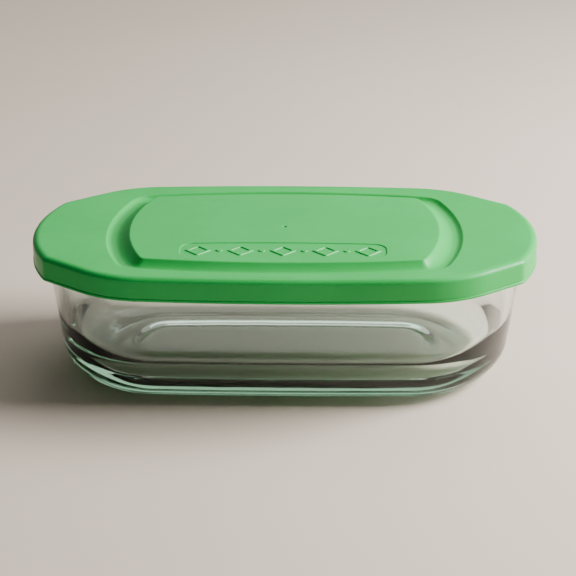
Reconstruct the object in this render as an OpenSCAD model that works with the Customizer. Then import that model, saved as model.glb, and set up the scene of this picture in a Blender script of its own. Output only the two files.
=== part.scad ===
// Oblong pressed-glass storage dish with a soft lid that clips over its rim.
// Millimetres, +Z up. The origin is the middle of the base, on the surface
// that the dish stands on. The length runs along X.

/* [Overall size] */
// Length of the lid, over both end handles
lid_l = 281; // [281:0.5:286]
// Width of the lid
lid_w = 147.6; // [147.6:0.2:150]
// Height of the lid's outer edge above the table
lid_h = 77.4; // [68:0.2:90]

/* [Dish] */
// Length of the dish's outside, just under the rim
dish_l = 266.2; // [258:0.2:266.4]
// Width of the dish's outside, just under the rim
dish_w = 138.6; // [134:0.2:138.6]
// Thickness of the glass wall
wall_t = 4.8; // [3.6:0.1:6]
// Height of the inside floor above the table
floor_z = 8.6; // [6:0.1:12]
// Depth of the hollow in the underside
push_up = 2.2; // [1:0.1:3.5]
// Width of the flat ring that the dish stands on
foot_w = 16; // [10:0.5:17]
// Slope of the end walls, in degrees
draft_end = 7; // [3:0.5:8]
// Slope of the side walls, in degrees
draft_side = 2.6; // [1:0.2:5]
// Outside radius where the wall meets the base
heel_r = 16; // [12:0.5:18]
// Height of the inside heel, where the wall meets the floor
inner_heel_h = 27; // [22:1:32]
// Width of the inside heel along the sides
inner_heel_side = 26; // [24:1:30]
// Width of the inside heel at the ends
inner_heel_end = 30; // [26:1:36]
// Thickness of the rim flange
rim_t = 5.6; // [4:0.2:7]

/* [Lid] */
// Height of the skirt, from the flange down to its lower edge
skirt_h = 13.8; // [11:0.2:15]
// Thickness of the lid
lid_t = 1.4; // [1.1:0.1:1.5]
// Radius of the rounding between the flange and the skirt
lid_round = 2; // [1.5:0.1:3]
// Gap between the skirt and the edge of the glass rim
rim_gap = 1; // [0.8:0.05:1.1]
// How far the inner bead stands in from the skirt
bead_in = 0.65; // [0.3:0.05:0.7]
// Rise of the middle panel above the lid's outer edge
panel_rise = 1.5; // [0.5:0.1:3]
// How far the flange falls inwards along the sides
fall_side = 0.8; // [0:0.1:0.9]
// How far the flange falls inwards at the ends
fall_end = 1.2; // [0:0.1:1.3]
// Depth of the valley round the panel, below the flange's inner edge
valley_d = 1.5; // [0.8:0.1:2]
// Length of the middle panel
panel_l = 172.6; // [164:0.2:176]
// Width of the middle panel
panel_w = 104.8; // [98:0.2:107]
// Width of the valley at the ends of the panel
valley_end = 12.7; // [9:0.1:14]
// Width of the valley along the sides of the panel
valley_side = 9.8; // [8:0.1:10.4]
// Height of the seal rib on the lid's underside
rib_h = 2.4; // [1.5:0.1:3]

/* [Sunk field] */
// Length of the sunk field on the panel
field_l = 112; // [90:1:120]
// Width of the sunk field
field_w = 22.6; // [16:0.2:23]
// Depth of the sunk field
field_d = 0.45; // [0.2:0.05:0.5]

/* [Hidden] */

// ---- plan outlines, as chains of arcs [centre, radius, from, to] in one
// quadrant, from the +X axis round to the +Y axis. An inset only changes the
// radii, so nested outlines stay parallel.
function nrm(a) = [cos(a), sin(a)];

// the point on the corner side where two circles meet
function meet(c0, r0, c1, r1) =
    let (v = c1 - c0, d = norm(v), u = v / d,
         a = (r0 * r0 - r1 * r1 + d * d) / (2 * d),
         h = sqrt(r0 * r0 - a * a),
         p = c0 + a * u + h * [-u.y, u.x],
         q = c0 + a * u - h * [-u.y, u.x])
    p.x > q.x ? p : q;

// end arc, corner fillet and side arc
function oval(hl, hw, re, rw, rc) =
    let (c0 = [hl - re, 0], c3 = [0, hw - rw],
         cf = meet(c0, re - rc, c3, rw - rc),
         t1 = atan2(cf.y - c0.y, cf.x - c0.x),
         t2 = atan2(cf.y - c3.y, cf.x - c3.x))
    [[c0, re, 0, t1], [cf, rc, t1, t2], [c3, rw, t2, 90]];

// the outline with the two end handles: end arc, handle corner, straight
// diagonal, shoulder and side arc. The diagonal's length makes the width true.
end_r = 91;
tab_r = 8;
tab_a1 = 27.5;
tab_a2 = 53.2;
shoulder_r = 60;
side_a = 86.3;
function tabbed(hl, hw) =
    let (c0 = [hl - end_r, 0],
         c1 = c0 + (end_r - tab_r) * nrm(tab_a1),
         p2 = c1 + tab_r * nrm(tab_a2),
         q = p2 + shoulder_r * (nrm(side_a) - nrm(tab_a2)),
         k = (1 - sin(side_a)) / cos(side_a),
         s = (hw - q.y - k * q.x) / (cos(tab_a2) - k * sin(tab_a2)),
         p4 = q + s * [-sin(tab_a2), cos(tab_a2)],
         rw = p4.x / cos(side_a))
    [[c0, end_r, 0, tab_a1], [c1, tab_r, tab_a1, tab_a2],
     [p4 - shoulder_r * nrm(side_a), shoulder_r, tab_a2, side_a],
     [p4 - rw * nrm(side_a), rw, side_a, 90]];

function chain(arcs, d) =
    [for (a = arcs) let (m = max(2, ceil((a[3] - a[2]) / 4)))
        for (i = [0:m]) a[0] + (a[1] - d) * nrm(a[2] + (a[3] - a[2]) * i / m)];

// ---- rings: every outline is cut by the same rays, which leave a spine on
// the X axis, so all rings have matching points
spine = 60;
fan = [0, 7, 14, 20, 25, 29, 31.5, 34, 38, 43, 48, 53, 58, 62, 66, 69, 71, 74, 79, 84, 90];
feet = [45, 30, 15, 0];
rays = concat([for (a = fan) [[spine, 0], nrm(a)]], [for (x = feet) [[x, 0], [0, 1]]]);

function cross2(a, b) = a.x * b.y - a.y * b.x;
function hit(pts, o, v) =
    [for (i = [0:len(pts) - 2])
        let (p = pts[i], e = pts[i + 1] - p, den = cross2(v, e))
        if (abs(den) > 1e-9)
            let (t = cross2(p - o, e) / den, s = cross2(p - o, v) / den)
            if (t > 0 && s >= -1e-6 && s <= 1 + 1e-6) o + t * v][0];

function quarter(arcs, d) = let (c = chain(arcs, d)) [for (r = rays) hit(c, r[0], r[1])];
// a closed ring from one quarter, at one height or at a height for each ray
function whole(q, z) = let (n = len(q), h = is_list(z) ? z : [for (p = q) z]) concat(
    [for (i = [0:n - 1]) [q[i].x, q[i].y, h[i]]],
    [for (i = [n - 2:-1:0]) [-q[i].x, q[i].y, h[i]]],
    [for (i = [1:n - 1]) [-q[i].x, -q[i].y, h[i]]],
    [for (i = [n - 2:-1:1]) [q[i].x, -q[i].y, h[i]]]);
function ring(arcs, d, z) = whole(quarter(arcs, d), z);
function mix(qa, qb, t, z) = whole([for (i = [0:len(qa) - 1]) qa[i] * (1 - t) + qb[i] * t], z);

// a closed skin over rings that all run anticlockwise, first and last capped
module skin(rings) {
    n = len(rings[0]);
    m = len(rings);
    polyhedron(
        points = [for (r = rings) for (p = r) p],
        faces = concat(
            [[for (i = [0:n - 1]) i]],
            [for (k = [0:m - 2]) for (i = [0:n - 1]) let (j = (i + 1) % n)
                each [[k * n + i, (k + 1) * n + i, (k + 1) * n + j],
                      [k * n + i, (k + 1) * n + j, k * n + j]]],
            [[for (i = [n - 1:-1:0]) (m - 1) * n + i]]),
        convexity = 8);
}

// ---- dish
skirt_z = lid_h - skirt_h;
rim_top = lid_h - lid_t - 0.8;
rim_z = rim_top - rim_t;
te = tan(draft_end);
ts = tan(draft_side);
// outside of the wall at a height
function wall_at(z) = let (dl = (rim_z - z) * te, dw = (rim_z - z) * ts)
    oval(dish_l / 2 - dl, dish_w / 2 - dw, 80 - dl, 2400, 57 - dl);
// the inside heel is wider at the ends than along the sides
function drawn_in(q, k) = [for (i = [0:len(q) - 1]) let (c = rays[i][1].x)
    q[i] - k * (inner_heel_side + (inner_heel_end - inner_heel_side) * c * c) * rays[i][1]];
module glass_dish() {
    rim = tabbed(lid_l / 2, lid_w / 2);
    edge = lid_t + rim_gap;
    color([0.80, 0.90, 0.87, 0.45]) skin(concat(
        // hollow underside, foot and heel
        [for (s = [1, 0.6, 0.25, 0])
            ring(wall_at(0), heel_r + foot_w + 8 * s, push_up * (3 * s * s - 2 * s * s * s))],
        [for (a = [90, 72, 54, 36, 18, 0]) let (z = heel_r * (1 - sin(a)))
            ring(wall_at(z), heel_r * (1 - cos(a)), z)],
        // wall, rim flange with its handles, and the mouth
        [ring(wall_at(rim_z - 2.5), 0, rim_z - 2.5),
         mix(quarter(wall_at(rim_z), -0.5), quarter(rim, edge + 1.2), 0.15, rim_z - 0.9),
         ring(rim, edge + 0.9, rim_z),
         ring(rim, edge, rim_z + 0.9),
         ring(rim, edge, rim_top - 1.6),
         ring(rim, edge + 0.6, rim_top - 0.45),
         ring(rim, edge + 1.9, rim_top),
         ring(wall_at(rim_z), wall_t - 1.6, rim_top),
         ring(wall_at(rim_z), wall_t - 0.4, rim_top - 0.7),
         ring(wall_at(rim_z), wall_t, rim_top - 2.4)],
        // inside: wall, heel and floor
        [for (a = [0, 18, 36, 54, 72, 90]) let (z = floor_z + inner_heel_h * (1 - sin(a)))
            whole(drawn_in(quarter(wall_at(z), wall_t), 1 - cos(a)), z)]));
}

// ---- lid
panel_z = lid_h + panel_rise;
panel = oval(panel_l / 2, panel_w / 2, 112, 570, 3.5);
moat = oval(panel_l / 2 + valley_end, panel_w / 2 + valley_side, 124, 470, 12);
// how far the flange has fallen at the valley's outer edge, along each ray
falls = concat([for (a = fan) fall_side + (fall_end - fall_side) * cos(a) * cos(a)],
               [for (x = feet) fall_side]);
// height along the valley, 0 at its outer edge and 1 at the panel
function valley(t, fall) = let (r = panel_rise + fall,
        b = r + 2 * valley_d + 2 * sqrt(valley_d * (valley_d + r)))
    -fall + (r - b) * t + b * t * t;
function slope(t, down) = [for (f = falls) lid_h - down + valley(t, f)];
// height of the flange, which falls evenly from the skirt to the valley
crown = quarter(tabbed(lid_l / 2, lid_w / 2), 0.3 + lid_round);
brink = quarter(moat, 0);
function flange(q, down) = [for (i = [0:len(q) - 1]) lid_h - down
    - falls[i] * min(1, norm(crown[i] - q[i]) / norm(crown[i] - brink[i]))];
module lid() {
    rim = tabbed(lid_l / 2, lid_w / 2);
    pa = quarter(panel, 0);
    mi = quarter(moat, 0.7 * lid_t);
    pi = quarter(panel, lid_t * 0.75);
    mu = quarter(moat, -0.4);
    cup = wall_at(rim_z);
    ro = quarter(cup, wall_t + 0.5);
    ri = quarter(cup, wall_t + 1.7);
    color([0.16, 0.62, 0.30]) difference() {
        skin(concat(
            // underside: panel, valley, seal rib, flange and skirt with its bead
            [whole(pi, panel_z - lid_t)],
            [for (t = [0.86, 0.68, 0.46, 0.24]) mix(mi, pi, t, slope(t, lid_t + 0.25))],
            [whole(mu, flange(mu, lid_t)),
             whole(ri, flange(ri, lid_t)),
             ring(cup, wall_t + 1.5, rim_top - rib_h),
             ring(cup, wall_t + 0.7, rim_top - rib_h),
             whole(ro, flange(ro, lid_t)),
             ring(rim, lid_t + 0.9, lid_h - lid_t),
             ring(rim, lid_t, lid_h - lid_t - 1),
             ring(rim, lid_t, skirt_z + 4.6),
             ring(rim, lid_t + bead_in, skirt_z + 3.4),
             ring(rim, lid_t + bead_in, skirt_z + 2.6),
             ring(rim, lid_t - 0.1, skirt_z + 0.6),
             ring(rim, lid_t - 0.7, skirt_z),
             // outside: lip, skirt, rounded edge, flange, valley and panel
             ring(rim, 0.3, skirt_z),
             ring(rim, 0, skirt_z + 0.4),
             ring(rim, 0, skirt_z + 1.3),
             ring(rim, 0.3, skirt_z + 1.6),
             ring(rim, 0.3, lid_h - lid_round),
             ring(rim, 0.3 + lid_round * 0.134, lid_h - lid_round * 0.5),
             ring(rim, 0.3 + lid_round * 0.5, lid_h - lid_round * 0.134),
             whole(crown, lid_h),
             whole(brink, flange(brink, 0))],
            [for (t = [0.12, 0.27, 0.42, 0.58, 0.74, 0.88]) mix(brink, pa, t, slope(t, 0))],
            [whole(pa, panel_z)]));
        // sunk field near the front of the panel
        translate([0, -panel_w / 2 + 5.9 + field_w / 2, panel_z - field_d])
            linear_extrude(field_d + 1)
                polygon(whole_flat(chain(oval(field_l / 2, field_w / 2, 60, 900, 7), 0)));
    }
}
function whole_flat(q) = let (n = len(q)) concat(
    q, [for (i = [n - 2:-1:0]) [-q[i].x, q[i].y]],
    [for (i = [1:n - 1]) [-q[i].x, -q[i].y]],
    [for (i = [n - 2:-1:1]) [q[i].x, -q[i].y]]);

glass_dish();
lid();
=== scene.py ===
# Visual model of an oblong glass storage dish and its clip-over lid, built
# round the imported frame. Metres in Blender; the profiles below are in mm.
import math

import bpy
import numpy as np
from mathutils import Matrix, Quaternion, Vector
from mathutils.geometry import delaunay_2d_cdt


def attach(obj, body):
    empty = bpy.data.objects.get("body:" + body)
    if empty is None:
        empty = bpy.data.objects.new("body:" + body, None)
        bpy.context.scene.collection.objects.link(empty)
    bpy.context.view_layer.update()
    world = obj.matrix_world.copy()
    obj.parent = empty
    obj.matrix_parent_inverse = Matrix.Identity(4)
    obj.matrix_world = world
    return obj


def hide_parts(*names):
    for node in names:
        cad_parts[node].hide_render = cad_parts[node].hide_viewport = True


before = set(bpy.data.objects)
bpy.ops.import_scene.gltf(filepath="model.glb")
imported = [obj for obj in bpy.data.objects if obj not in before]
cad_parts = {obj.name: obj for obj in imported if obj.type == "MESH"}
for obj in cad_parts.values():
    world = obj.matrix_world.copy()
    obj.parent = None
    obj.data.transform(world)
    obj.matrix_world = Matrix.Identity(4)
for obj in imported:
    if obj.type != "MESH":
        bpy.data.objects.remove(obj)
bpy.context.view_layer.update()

MM = 0.001

# ---------------------------------------------------------------- sizes (mm)
LID_L, LID_W, LID_H = 281.0, 147.6, 77.4
DISH_L, DISH_W = 266.2, 138.6
WALL_T, FLOOR_Z, PUSH_UP = 4.8, 8.6, 2.2
FOOT_W, HEEL_R = 16.0, 16.0
INNER_H, INNER_SIDE, INNER_END = 27.0, 26.0, 30.0
TE, TS = math.tan(math.radians(7.0)), math.tan(math.radians(2.6))
SKIRT_H, LID_T, LID_R = 13.8, 1.4, 2.0
EDGE_H, EDGE_V = 4.2, 2.9  # the soft roll of the flange into the skirt
RIM_T, RIM_GAP, BEAD_IN = 5.6, 1.0, 0.65
PANEL_RISE, VALLEY_D = 1.5, 1.5
FALL_SIDE, FALL_END = 0.8, 1.2
VALLEY_AT = 0.26
PANEL_L, PANEL_W = 172.6, 104.8
VALLEY_END, VALLEY_SIDE = 12.7, 9.8
RIB_H = 2.4
FIELD_L, FIELD_W, FIELD_D = 112.0, 22.6, 0.45

SKIRT_Z = LID_H - SKIRT_H
RIM_TOP = LID_H - LID_T - 0.8
RIM_Z = RIM_TOP - RIM_T
PANEL_Z = LID_H + PANEL_RISE


# ------------------------------------------------------------- plan outlines
# Each outline is a chain of arcs (centre, radius, from, to) in one quadrant,
# from +X round to +Y, so an inset only changes the radii.
def nrm(a):
    return np.array([math.cos(math.radians(a)), math.sin(math.radians(a))])


def meet(c0, r0, c1, r1):
    v = c1 - c0
    d = math.hypot(v[0], v[1])
    u = v / d
    a = (r0 * r0 - r1 * r1 + d * d) / (2 * d)
    h = math.sqrt(r0 * r0 - a * a)
    w = np.array([-u[1], u[0]])
    p, q = c0 + a * u + h * w, c0 + a * u - h * w
    return p if p[0] > q[0] else q


def heading(v):
    return math.degrees(math.atan2(v[1], v[0]))


def oval(hl, hw, re, rw, rc):
    c0, c3 = np.array([hl - re, 0.0]), np.array([0.0, hw - rw])
    cf = meet(c0, re - rc, c3, rw - rc)
    t1, t2 = heading(cf - c0), heading(cf - c3)
    return [(c0, re, 0, t1), (cf, rc, t1, t2), (c3, rw, t2, 90)]


def tabbed(hl, hw, end_r=91.0, tab_r=8.0, a1=27.5, a2=53.2, sh=60.0, a3=86.3):
    c0 = np.array([hl - end_r, 0.0])
    c1 = c0 + (end_r - tab_r) * nrm(a1)
    p2 = c1 + tab_r * nrm(a2)
    q = p2 + sh * (nrm(a3) - nrm(a2))
    k = (1 - nrm(a3)[1]) / nrm(a3)[0]
    s = (hw - q[1] - k * q[0]) / (nrm(a2)[0] - k * nrm(a2)[1])
    p4 = q + s * np.array([-nrm(a2)[1], nrm(a2)[0]])
    rw = p4[0] / nrm(a3)[0]
    return [
        (c0, end_r, 0, a1),
        (c1, tab_r, a1, a2),
        (p4 - sh * nrm(a3), sh, a2, a3),
        (p4 - rw * nrm(a3), rw, a3, 90),
    ]


def wall_at(z):
    dl, dw = (RIM_Z - z) * TE, (RIM_Z - z) * TS
    return oval(DISH_L / 2 - dl, DISH_W / 2 - dw, 80 - dl, 2400, 57 - dl)


RIM = tabbed(LID_L / 2, LID_W / 2)
PANEL = oval(PANEL_L / 2, PANEL_W / 2, 112, 570, 3.5)
MOAT = oval(PANEL_L / 2 + VALLEY_END, PANEL_W / 2 + VALLEY_SIDE, 124, 470, 12)
FIELD = oval(FIELD_L / 2, FIELD_W / 2, 60, 900, 7)
FIELD_Y = -PANEL_W / 2 + 5.9 + FIELD_W / 2

# Rays that leave a spine on the X axis cut every outline, so that all rings
# have matching points. They are closer together round the small corners.
SPINE = 60.0
_fan = sorted(
    set(
        [round(a, 3) for a in np.arange(0, 90.01, 1.25)]
        + [round(a, 3) for a in np.arange(28.0, 35.01, 0.5)]
        + [round(a, 3) for a in np.arange(64.0, 76.01, 0.5)]
    )
)
RAYS = [(SPINE, 0.0, math.cos(math.radians(a)), math.sin(math.radians(a))) for a in _fan]
RAYS += [(x, 0.0, 0.0, 1.0) for x in np.arange(SPINE - 2.5, -0.01, -2.5)]
RO = np.array([[r[0], r[1]] for r in RAYS])
RV = np.array([[r[2], r[3]] for r in RAYS])


def reach(arcs, d=0.0):
    """How far along each ray the outline lies, inset by d."""
    out = []
    for ox, oy, vx, vy in RAYS:
        t = None
        for c, r0, a0, a1 in arcs:
            r = r0 - d
            wx, wy = ox - c[0], oy - c[1]
            b = wx * vx + wy * vy
            disc = b * b - (wx * wx + wy * wy - r * r)
            if disc < 0:
                continue
            tt = -b + math.sqrt(disc)
            a = math.degrees(math.atan2(oy + tt * vy - c[1], ox + tt * vx - c[0]))
            if tt > 0 and a0 - 1e-6 <= a <= a1 + 1e-6:
                t = tt
                break
        if t is None:
            for k in range(len(arcs) - 1):
                p = arcs[k][0] + (arcs[k][1] - d) * nrm(arcs[k][3])
                e = arcs[k + 1][0] + (arcs[k + 1][1] - d) * nrm(arcs[k + 1][2]) - p
                den = vx * e[1] - vy * e[0]
                if abs(den) < 1e-12:
                    continue
                tt = ((p[0] - ox) * e[1] - (p[1] - oy) * e[0]) / den
                s = ((p[0] - ox) * vy - (p[1] - oy) * vx) / den
                if tt > 0 and -1e-4 <= s <= 1 + 1e-4:
                    t = tt
                    break
        out.append(t)
    return np.array(out, float)


def ring(t, z):
    """A closed ring of points from the reach along each ray."""
    q = RO + RV * t[:, None]
    n = len(q)
    z = np.broadcast_to(np.asarray(z, float), (n,))
    q = np.column_stack([q, z])
    a = q
    b = q[n - 2 :: -1] * [-1, 1, 1]
    c = q[1:] * [-1, -1, 1]
    d = q[n - 2 : 0 : -1] * [1, -1, 1]
    return np.vstack([a, b, c, d])


def loft(rings):
    """Vertices and quads of a skin over rings that run anticlockwise."""
    n = len(rings[0])
    faces = []
    for k in range(len(rings) - 1):
        a, b = k * n, (k + 1) * n
        for i in range(n):
            j = (i + 1) % n
            faces.append((a + i, a + j, b + j, b + i))
    return np.vstack(rings), faces, n


def make(name, verts, faces, body, nodes, mat, sharp=None):
    me = bpy.data.meshes.new(name)
    me.from_pydata([tuple(v) for v in np.asarray(verts) * MM], [], faces)
    me.validate()
    me.update()
    for p in me.polygons:
        p.use_smooth = True
    if sharp is not None:
        me.set_sharp_from_angle(angle=math.radians(sharp))
    ob = bpy.data.objects.new(name, me)
    bpy.context.scene.collection.objects.link(ob)
    me.materials.append(mat)
    m = ob.modifiers.new("weighted", "WEIGHTED_NORMAL")
    m.keep_sharp = True
    m.weight = 80
    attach(ob, body)
    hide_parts(*nodes)
    return ob


# ----------------------------------------------------------------- materials
def new_mat(name):
    m = bpy.data.materials.new(name)
    m.use_nodes = True
    nt = m.node_tree
    return m, nt, nt.nodes["Principled BSDF"], nt.nodes["Material Output"]


def noise(nt, coord, scale, detail=2.0, rough=0.5):
    n = nt.nodes.new("ShaderNodeTexNoise")
    n.inputs["Scale"].default_value = scale
    n.inputs["Detail"].default_value = detail
    n.inputs["Roughness"].default_value = rough
    nt.links.new(coord, n.inputs["Vector"])
    return n.outputs["Fac"]


def remap(nt, fac, lo, hi, a=0.3, b=0.7):
    n = nt.nodes.new("ShaderNodeMapRange")
    n.inputs["From Min"].default_value = a
    n.inputs["From Max"].default_value = b
    n.inputs["To Min"].default_value = lo
    n.inputs["To Max"].default_value = hi
    nt.links.new(fac, n.inputs["Value"])
    return n.outputs["Result"]


def ramp(nt, fac, stops):
    n = nt.nodes.new("ShaderNodeValToRGB")
    r = n.color_ramp
    while len(r.elements) < len(stops):
        r.elements.new(0.5)
    for e, (p, c) in zip(r.elements, stops):
        e.position = p
        e.color = (*c, 1)
    nt.links.new(fac, n.inputs["Fac"])
    return n.outputs["Color"]


def bump(nt, height, strength, distance, normal=None):
    n = nt.nodes.new("ShaderNodeBump")
    n.inputs["Strength"].default_value = strength
    n.inputs["Distance"].default_value = distance
    nt.links.new(height, n.inputs["Height"])
    if normal is not None:
        nt.links.new(normal, n.inputs["Normal"])
    return n.outputs["Normal"]


def object_coord(nt):
    return nt.nodes.new("ShaderNodeTexCoord").outputs["Object"]


def glass_material():
    m, nt, p, out = new_mat("pressed_glass")
    co = object_coord(nt)
    p.inputs["Base Color"].default_value = (0.98, 1.0, 0.99, 1)
    p.inputs["IOR"].default_value = 1.515
    p.inputs["Transmission Weight"].default_value = 1.0
    # fire-polished, with a trace of mould texture and slow waves in the wall
    rough = remap(nt, noise(nt, co, 90.0, 3.0), 0.0, 0.03)
    nt.links.new(rough, p.inputs["Roughness"])
    waves = bump(nt, noise(nt, co, 38.0, 1.0), 0.10, 0.0012)
    nt.links.new(waves, p.inputs["Normal"])
    v = nt.nodes.new("ShaderNodeVolumeAbsorption")
    v.inputs["Color"].default_value = (0.56, 0.94, 0.70, 1)
    v.inputs["Density"].default_value = 13.0
    nt.links.new(v.outputs["Volume"], out.inputs["Volume"])
    return m


def lid_material():
    m, nt, p, out = new_mat("lid_polyethylene")
    co = object_coord(nt)
    cloud = noise(nt, co, 22.0, 3.0)
    col = ramp(nt, cloud, [(0.30, (0.007, 0.41, 0.066)), (0.72, (0.011, 0.46, 0.080))])
    nt.links.new(col, p.inputs["Base Color"])
    nt.links.new(remap(nt, noise(nt, co, 130.0, 4.0), 0.36, 0.46), p.inputs["Roughness"])
    p.inputs["IOR"].default_value = 1.51
    p.inputs["Specular IOR Level"].default_value = 0.30
    p.inputs["Subsurface Weight"].default_value = 0.06
    p.inputs["Subsurface Radius"].default_value = (0.5, 1.0, 0.6)
    p.inputs["Subsurface Scale"].default_value = 0.0015
    fine = bump(nt, noise(nt, co, 2600.0, 2.0), 0.22, 0.00005)
    soft = bump(nt, noise(nt, co, 60.0, 2.0), 0.05, 0.0012, fine)
    nt.links.new(soft, p.inputs["Normal"])
    return m


def floor_material():
    m, nt, p, out = new_mat("pale_floor")
    co = object_coord(nt)
    col = ramp(nt, noise(nt, co, 3.0, 4.0), [(0.3, (0.64, 0.545, 0.455)), (0.7, (0.67, 0.575, 0.485))])
    nt.links.new(col, p.inputs["Base Color"])
    p.inputs["Roughness"].default_value = 0.7
    p.inputs["Specular IOR Level"].default_value = 0.3
    return m


GLASS, PLASTIC, FLOOR = glass_material(), lid_material(), floor_material()


# ---------------------------------------------------------------- glass dish
def build_dish():
    rings = []
    # the foot ring is a little wider at the ends than along the sides
    foot_t = reach(wall_at(0), HEEL_R + FOOT_W) + 2.0 - 6.0 * RV[:, 0] ** 2
    # hollow underside, flat in the middle with a soft cove down to the foot
    for s in np.linspace(1, 0, 15):
        z = PUSH_UP * (3 * s * s - 2 * s ** 3)
        rings.append(ring(foot_t + 2.4 - 13.0 * s, z))
    heel_t = reach(wall_at(0), HEEL_R + 4.0)
    for w in (0.8, 0.6, 0.4, 0.2):
        rings.append(ring(heel_t * (1 - w) + (foot_t + 2.4) * w, 0))
    # the heel flattens little by little where it runs into the foot
    for a in np.linspace(90, 0, 31):
        c, s = math.cos(math.radians(a)), math.sin(math.radians(a))
        z = HEEL_R * (1 - s)
        rings.append(ring(reach(wall_at(z), HEEL_R * (1 - c) + 4.0 * s ** 16), z))
    edge = LID_T + RIM_GAP
    t_wall = reach(wall_at(RIM_Z))
    t_edge = reach(RIM, edge)
    w = t_edge - t_wall
    rf = np.minimum(2.4, 0.42 * w)
    r1 = np.minimum(1.4, 0.42 * w)
    for z in np.linspace(HEEL_R + 2.0, RIM_Z - 2.6, 24):
        rings.append(ring(reach(wall_at(z)), z))
    for a in np.linspace(0, 90, 7):
        c, s = math.cos(math.radians(a)), math.sin(math.radians(a))
        z = RIM_Z - rf + rf * s
        rings.append(ring(t_wall - (RIM_Z - z) * TS + rf * (1 - c), z))
    for a in np.linspace(0, 90, 6):
        c, s = math.cos(math.radians(a)), math.sin(math.radians(a))
        rings.append(ring(t_edge - r1 + r1 * s, RIM_Z + r1 * (1 - c)))
    r2 = 1.9
    for a in np.linspace(0, 90, 9):
        c, s = math.cos(math.radians(a)), math.sin(math.radians(a))
        rings.append(ring(reach(RIM, edge + r2 * (1 - c)), RIM_TOP - r2 + r2 * s))
    r3 = 2.3
    for a in np.linspace(90, 0, 9):
        c, s = math.cos(math.radians(a)), math.sin(math.radians(a))
        z = RIM_TOP - r3 + r3 * s
        rings.append(ring(reach(wall_at(z), WALL_T - r3 * (1 - c)), z))
    inner = INNER_SIDE + (INNER_END - INNER_SIDE) * RV[:, 0] ** 2
    for z in np.linspace(RIM_TOP - r3 - 1.6, FLOOR_Z + INNER_H + 2.0, 20):
        rings.append(ring(reach(wall_at(z), WALL_T), z))
    for a in np.linspace(0, 90, 29):
        c, s = math.cos(math.radians(a)), math.sin(math.radians(a))
        z = FLOOR_Z + INNER_H * (1 - s)
        rings.append(ring(reach(wall_at(z), WALL_T) - inner * (1 - c), z))
    verts, faces, n = loft(rings)
    faces = [(0 * n + i) for i in range(n)], faces, [((len(rings) - 1) * n + i) for i in range(n)]
    bottom, quads, top = faces
    allf = [tuple(reversed(bottom))] + quads + [tuple(top)]
    return make("glass_dish_body", verts, allf, "dish", ["glass_dish"], GLASS)


# ----------------------------------------------------------------------- lid
FALLS = FALL_SIDE + (FALL_END - FALL_SIDE) * RV[:, 0] ** 2
CROWN, BRINK = reach(RIM, 0.3 + LID_R), reach(MOAT)


def flange(t, z):
    """Height of the flange, which falls evenly from the skirt to the valley."""
    return z - FALLS * np.clip((CROWN - t) / (CROWN - BRINK), 0, 1)


def valley(t):
    # a little deeper along the sides than at the ends
    deep = VALLEY_D + 0.45 * (1 - RV[:, 0] ** 2)
    if t < VALLEY_AT:
        return -FALLS - deep * (1 - (1 - t / VALLEY_AT) ** 2)
    # flat bottom, then an ever steeper slope up to the panel
    w = max(0.0, (t - 0.40) / 0.60)
    return -FALLS - deep + (PANEL_RISE + FALLS + deep) * w ** 1.6


def arc_loop(arcs, d, cx, cy, step=6.0, mir=True):
    """A whole outline as points, from its arcs in one quadrant."""
    q = []
    for c, r, a0, a1 in arcs:
        m = max(2, int(math.ceil((a1 - a0) / step)), int(abs(a1 - a0) * r / 57.3 / 3.0))
        for i in range(m + 1):
            p = c + (r - d) * nrm(a0 + (a1 - a0) * i / m)
            if not q or np.hypot(*(p - q[-1])) > 1e-4:
                q.append(p)
    q = np.array(q)
    n = len(q)
    full = np.vstack([q, q[n - 2 :: -1] * [-1, 1], q[1:] * [-1, -1], q[n - 2 : 0 : -1] * [1, -1]])
    return full + [cx, cy]


def disc_loop(cx, cy, r, n):
    return np.array([[cx + r * math.cos(2 * math.pi * i / n), cy + r * math.sin(2 * math.pi * i / n)] for i in range(n)])


def lozenge_loop(cx, cy, a, b, rc, d, n=5):
    """A lozenge with half lengths a and b and corners rounded by rc, inset by d."""
    l = math.hypot(a, b)
    ca, cb = a - rc * l / b, b - rc * l / a  # the core that the round brush runs along
    t = math.degrees(math.atan2(a, b))
    pts = []
    for (x, y), mid in (((ca, 0), 0), ((0, cb), 90), ((-ca, 0), 180), ((0, -cb), 270)):
        h = t if mid % 180 == 90 else 90 - t
        h = 90 - t if mid % 180 == 90 else t
        for i in range(n + 1):
            an = mid - h + 2 * h * i / n
            pts.append([cx + x + (rc - d) * nrm(an)[0], cy + y + (rc - d) * nrm(an)[1]])
    return np.array(pts)


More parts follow.
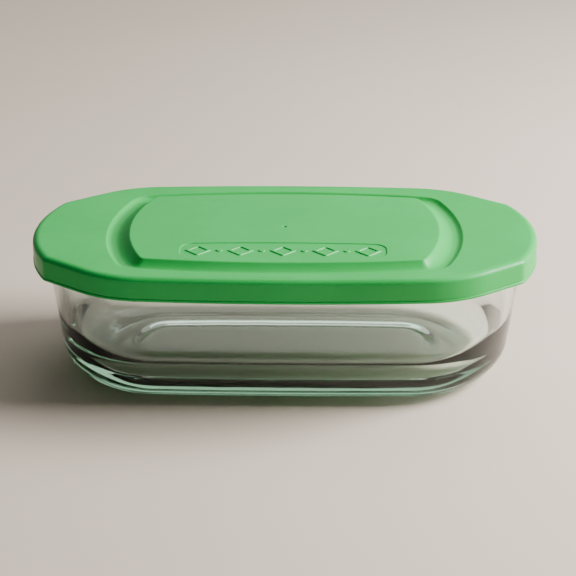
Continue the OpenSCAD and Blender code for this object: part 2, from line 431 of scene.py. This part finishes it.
def relief():
    """Contour loops of the panel's relief: (points, height)."""
    loops = []
    low = PANEL_Z - FIELD_D
    for d, z in ((-0.45, PANEL_Z), (-0.12, PANEL_Z), (0.0, PANEL_Z - 0.05), (0.16, low + 0.05), (0.30, low), (0.7, low)):
        loops.append((arc_loop(FIELD, d, 0, FIELD_Y), z))

    def raised(maker, h=0.5):
        for d, f in ((-0.25, 0.0), (0.0, 0.0), (0.12, 0.22), (0.28, 0.86), (0.44, 1.0)):
            loops.append((maker(d), low + h * f))

    def sunk(maker, h=0.5):
        for d, f in ((-0.26, 1.0), (-0.10, 0.85), (0.06, 0.2), (0.18, 0.0)):
            loops.append((maker(d), low + h * f))

    # a plain chain of open lozenges and studs, the same to both sides
    for u in (0.0, 23.0, 46.0):
        for s in (-1, 1) if u else (1,):
            raised(lambda d, u=u, s=s: lozenge_loop(s * u, FIELD_Y, 7.6, 7.6, 1.2, d))
            sunk(lambda d, u=u, s=s: lozenge_loop(s * u, FIELD_Y, 4.9, 4.9, 0.9, d))
    for u in (11.5, 34.5):
        for s in (-1, 1):
            raised(lambda d, u=u, s=s: disc_loop(s * u, FIELD_Y, 1.9 - d, 24))
    # the gate mark in the middle
    for r, z in ((1.9, 0.0), (1.35, 0.0), (1.05, -0.12), (0.8, -0.65), (0.45, -0.8)):
        loops.append((disc_loop(0, 0, r, 24), PANEL_Z + z))
    return loops


def build_lid():
    rings = []
    mo, pa = reach(MOAT), reach(PANEL)
    mi, pi = reach(MOAT, 0.7 * LID_T), reach(PANEL, 0.75 * LID_T)
    under = LID_H - LID_T
    cup = wall_at(RIM_Z)
    # underside, from the middle outwards
    rings.append(ring(pi - 2.0, PANEL_Z - LID_T))
    rings.append(ring(pi, PANEL_Z - LID_T))
    for t in np.linspace(0.92, 0.08, 22):
        rings.append(ring(mi * (1 - t) + pi * t, under + valley(t) - 0.25))
    moat_out = reach(MOAT, -0.55)
    rings.append(ring(moat_out, flange(moat_out, under)))
    for d, z in (
        (1.9, 0), (1.7, 0), (1.62, -0.3), (1.5, -RIB_H + 0.3), (1.3, -RIB_H),
        (0.8, -RIB_H), (0.6, -RIB_H + 0.3), (0.45, -0.3), (0.4, 0), (0.2, 0),
    ):
        t = np.maximum(reach(cup, WALL_T + d), moat_out + 0.05 * (2 - d))
        rings.append(ring(t, flange(t, under) + z))
    for d, z in (
        (1.4, 0), (0.9, -0.05), (0.4, -0.3), (0.1, -0.7), (0.0, -1.2), (0.0, -5.0),
    ):
        rings.append(ring(reach(RIM, LID_T + d), under + z))
    for d, z in (
        (0.0, 4.6), (0.12, 4.35), (BEAD_IN - 0.1, 3.6), (BEAD_IN, 3.3), (BEAD_IN, 2.8),
        (BEAD_IN - 0.1, 2.5), (0.1, 1.2), (-0.1, 0.6), (-0.3, 0.2), (-0.6, 0.0),
    ):
        rings.append(ring(reach(RIM, LID_T + d), SKIRT_Z + z))
    # outside, from the lower lip up
    for a in np.linspace(0, 90, 5):
        c, s = math.cos(math.radians(a)), math.sin(math.radians(a))
        rings.append(ring(reach(RIM, 0.35 * (1 - s) + 0.05), SKIRT_Z + 0.35 * (1 - c)))
    for d, z in ((0.0, 0.7), (0.0, 1.15), (0.06, 1.3), (0.42, 1.42), (0.5, 1.55), (0.42, 1.7), (0.30, 1.85)):
        rings.append(ring(reach(RIM, d), SKIRT_Z + z))
    z1 = LID_H - EDGE_V - 0.4
    for z in np.linspace(SKIRT_Z + 3.2, z1 - 0.5, 5):
        rings.append(ring(reach(RIM, 0.28), z))
    # faint parting line, then the rounded upper edge
    for d, z in ((0.28, z1 - 0.12), (0.34, z1), (0.30, z1 + 0.12)):
        rings.append(ring(reach(RIM, d), z))
    for a in np.linspace(0, 90, 17):
        c, s = math.cos(math.radians(a)), math.sin(math.radians(a))
        t = reach(RIM, 0.3 + EDGE_H * (1 - c))
        rings.append(ring(t, flange(t, LID_H) - EDGE_V * (1 - s)))
    for w in (0.2, 0.4, 0.65):
        t = CROWN * (1 - w) + mo * w
        rings.append(ring(t, flange(t, LID_H)))
    for d, z in ((-1.0, 0.0), (-0.5, 0.0), (-0.25, -0.02)):
        t = reach(MOAT, d)
        rings.append(ring(t, flange(t, LID_H) + z))
    for t in np.concatenate([np.linspace(0.02, 0.26, 9), np.linspace(0.3, 0.94, 24)]):
        rings.append(ring(mo * (1 - t) + pa * t, LID_H + valley(t) - 0.05))
    for d, z in ((-0.3, -0.393), (-0.02, -0.198), (0.26, -0.078), (0.5, -0.02), (0.75, 0.0), (1.5, 0.0)):
        rings.append(ring(reach(PANEL, d), PANEL_Z + z))
    verts, quads, n = loft(rings)
    last = (len(rings) - 1) * n
    # the panel's face, triangulated between the contours of its relief
    loops = [([tuple(v[:2]) for v in verts[last:]], PANEL_Z)]
    for pts, z in relief():
        loops.append(([tuple(p) for p in pts], z))
    co, edges, zs = [], [], []
    for pts, z in loops:
        b = len(co)
        co += pts
        zs += [z] * len(pts)
        edges += [(b + i, b + (i + 1) % len(pts)) for i in range(len(pts))]
    vo, eo, fo, ov, oe, of = delaunay_2d_cdt([Vector(c) for c in co], edges, [], 0, 1e-5, True)
    index, extra = {}, []
    for k, src in enumerate(ov):
        first = min(src) if src else None
        if first is not None and first < n:
            index[k] = last + first
        else:
            z = zs[first] if first is not None else PANEL_Z
            index[k] = len(verts) + len(extra)
            extra.append([vo[k][0], vo[k][1], z])
    tris = []
    for f in fo:
        t = [index[i] for i in f]
        p = [vo[i] for i in f]
        area = sum(p[i][0] * p[(i + 1) % len(p)][1] - p[(i + 1) % len(p)][0] * p[i][1] for i in range(len(p)))
        if abs(area) < 1e-9:
            continue
        tris.append(tuple(t if area > 0 else reversed(t)))
    verts = np.vstack([verts, np.array(extra)])
    faces = [tuple(reversed(range(n)))] + quads + tris
    return make("lid_shell", verts, faces, "lid", ["lid"], PLASTIC, sharp=55)


DISH = build_dish()
LID = build_lid()

# --------------------------------------------------------------------- stage
bpy.ops.mesh.primitive_plane_add(size=9.0, location=(0, 0, -0.0004))
floor = bpy.context.object
floor.name = "studio_floor"
floor.data.materials.append(FLOOR)


def area_light(name, loc, target, size, size_y, power, color=(1, 1, 1)):
    d = bpy.data.lights.new(name, "AREA")
    d.shape = "RECTANGLE"
    d.size, d.size_y = size, size_y
    d.energy = power
    d.color = color
    o = bpy.data.objects.new(name, d)
    bpy.context.scene.collection.objects.link(o)
    o.location = loc
    v = Vector(target) - Vector(loc)
    o.rotation_euler = v.to_track_quat("-Z", "Y").to_euler()
    o.visible_camera = False
    return o


area_light("key_right", (1.00, 0.12, 0.64), (0, 0, 0.05), 0.6, 0.6, 48, (1.0, 0.985, 0.96))
area_light("top_back", (0.2, 0.9, 1.5), (0, 0, 0.05), 1.2, 0.9, 5)

world = bpy.data.worlds.new("studio")
world.use_nodes = True
wt = world.node_tree
bg = wt.nodes["Background"]
# a soft room: pale behind and to the right, dimmer in front and to the left
way = wt.nodes.new("ShaderNodeVectorMath")
way.operation = "DOT_PRODUCT"
way.inputs[1].default_value = (0.65, 0.70, 0.25)
wt.links.new(wt.nodes.new("ShaderNodeTexCoord").outputs["Generated"], way.inputs[0])
side = remap(wt, way.outputs["Value"], 0.0, 1.0, -0.9, 0.9)
room = ramp(wt, side, [(0.0, (0.05, 0.05, 0.05)), (0.45, (0.12, 0.117, 0.113)), (0.70, (0.28, 0.27, 0.258)), (0.88, (0.62, 0.60, 0.575)), (1.0, (0.90, 0.87, 0.84))])
wt.links.new(room, bg.inputs["Color"])
bg.inputs["Strength"].default_value = 0.9
bpy.context.scene.world = world

# -------------------------------------------------------------------- camera
EL, YAW, ROLL = math.radians(23.0), math.radians(1.451), math.radians(-0.201)
DIST, FPX, OX, OY = 989.4, 1749.9, -3.2, -7.204
TARGET = Vector((0, 0, 46.0))
back = Vector((math.sin(YAW) * math.cos(EL), -math.cos(YAW) * math.cos(EL), math.sin(EL)))
right = Vector((math.cos(YAW), math.sin(YAW), 0))
up = back.cross(right)
r2 = math.cos(ROLL) * right + math.sin(ROLL) * up
u2 = -math.sin(ROLL) * right + math.cos(ROLL) * up
rot = Matrix((r2, u2, back)).transposed()
turn = Vector((0, 0, -1)).rotation_difference(Vector((OX, -OY, -FPX)).normalized())
rot = rot @ turn.to_matrix().inverted()
cam_data = bpy.data.cameras.new("camera")
cam_data.sensor_width = 36.0
cam_data.lens = FPX / 576 * 36.0
cam_data.clip_start = 0.01
cam = bpy.data.objects.new("camera", cam_data)
bpy.context.scene.collection.objects.link(cam)
cam.matrix_world = Matrix.Translation((TARGET + DIST * back) * MM) @ rot.to_4x4()
bpy.context.scene.camera = cam
